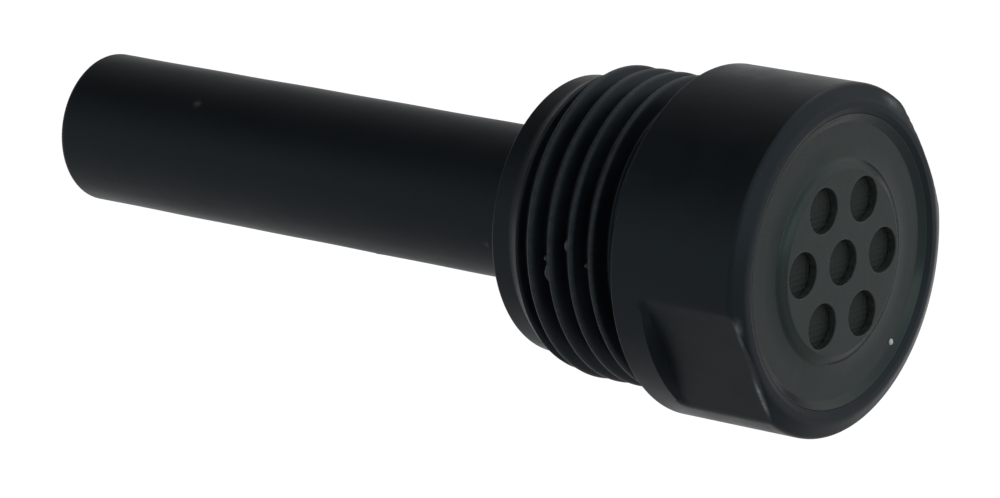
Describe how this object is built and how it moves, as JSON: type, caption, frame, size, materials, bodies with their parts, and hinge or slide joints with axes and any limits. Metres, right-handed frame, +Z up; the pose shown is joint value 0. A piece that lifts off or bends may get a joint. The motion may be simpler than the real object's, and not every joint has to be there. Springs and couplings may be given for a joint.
{
  "type": "pneumatic muffler",
  "caption": "Screw-in pneumatic muffler: long plain absorber tube, male pipe thread and a round head with two spanner flats and a perforated outlet plate.",
  "frame": {"origin": "centre of the head's seating face, on the thread's axis", "axes": "+X along the axis from the closed tube end to the outlet face, +Z up, one outlet hole on +Y"},
  "size_m": [0.0512, 0.0186, 0.0186],
  "materials": {
    "housing_plastic": "satin moulded black nylon",
    "tube_plastic": "fine matt black",
    "plate_plastic": "satin charcoal, slightly lighter than the head",
    "ring_plastic": "satin black",
    "seal_rubber": "matt",
    "felt": "needled charcoal felt",
    "foam": "open-cell foam",
    "screen_wire": "blackened wire",
    "inner_steel": "plain steel"
  },
  "bodies": {
    "root": {"housing": "housing_plastic", "absorber_tube": "tube_plastic", "tube_end_plug": "tube_plastic", "support_tube": "inner_steel", "tube_collar": "housing_plastic", "collar_seal": "seal_rubber", "foam_insert": "foam", "baffle_disc": "inner_steel", "felt_disc": "felt", "outlet_screen": "screen_wire", "diffuser_plate": "plate_plastic", "retaining_ring": "ring_plastic"}
  },
  "joints": []
}
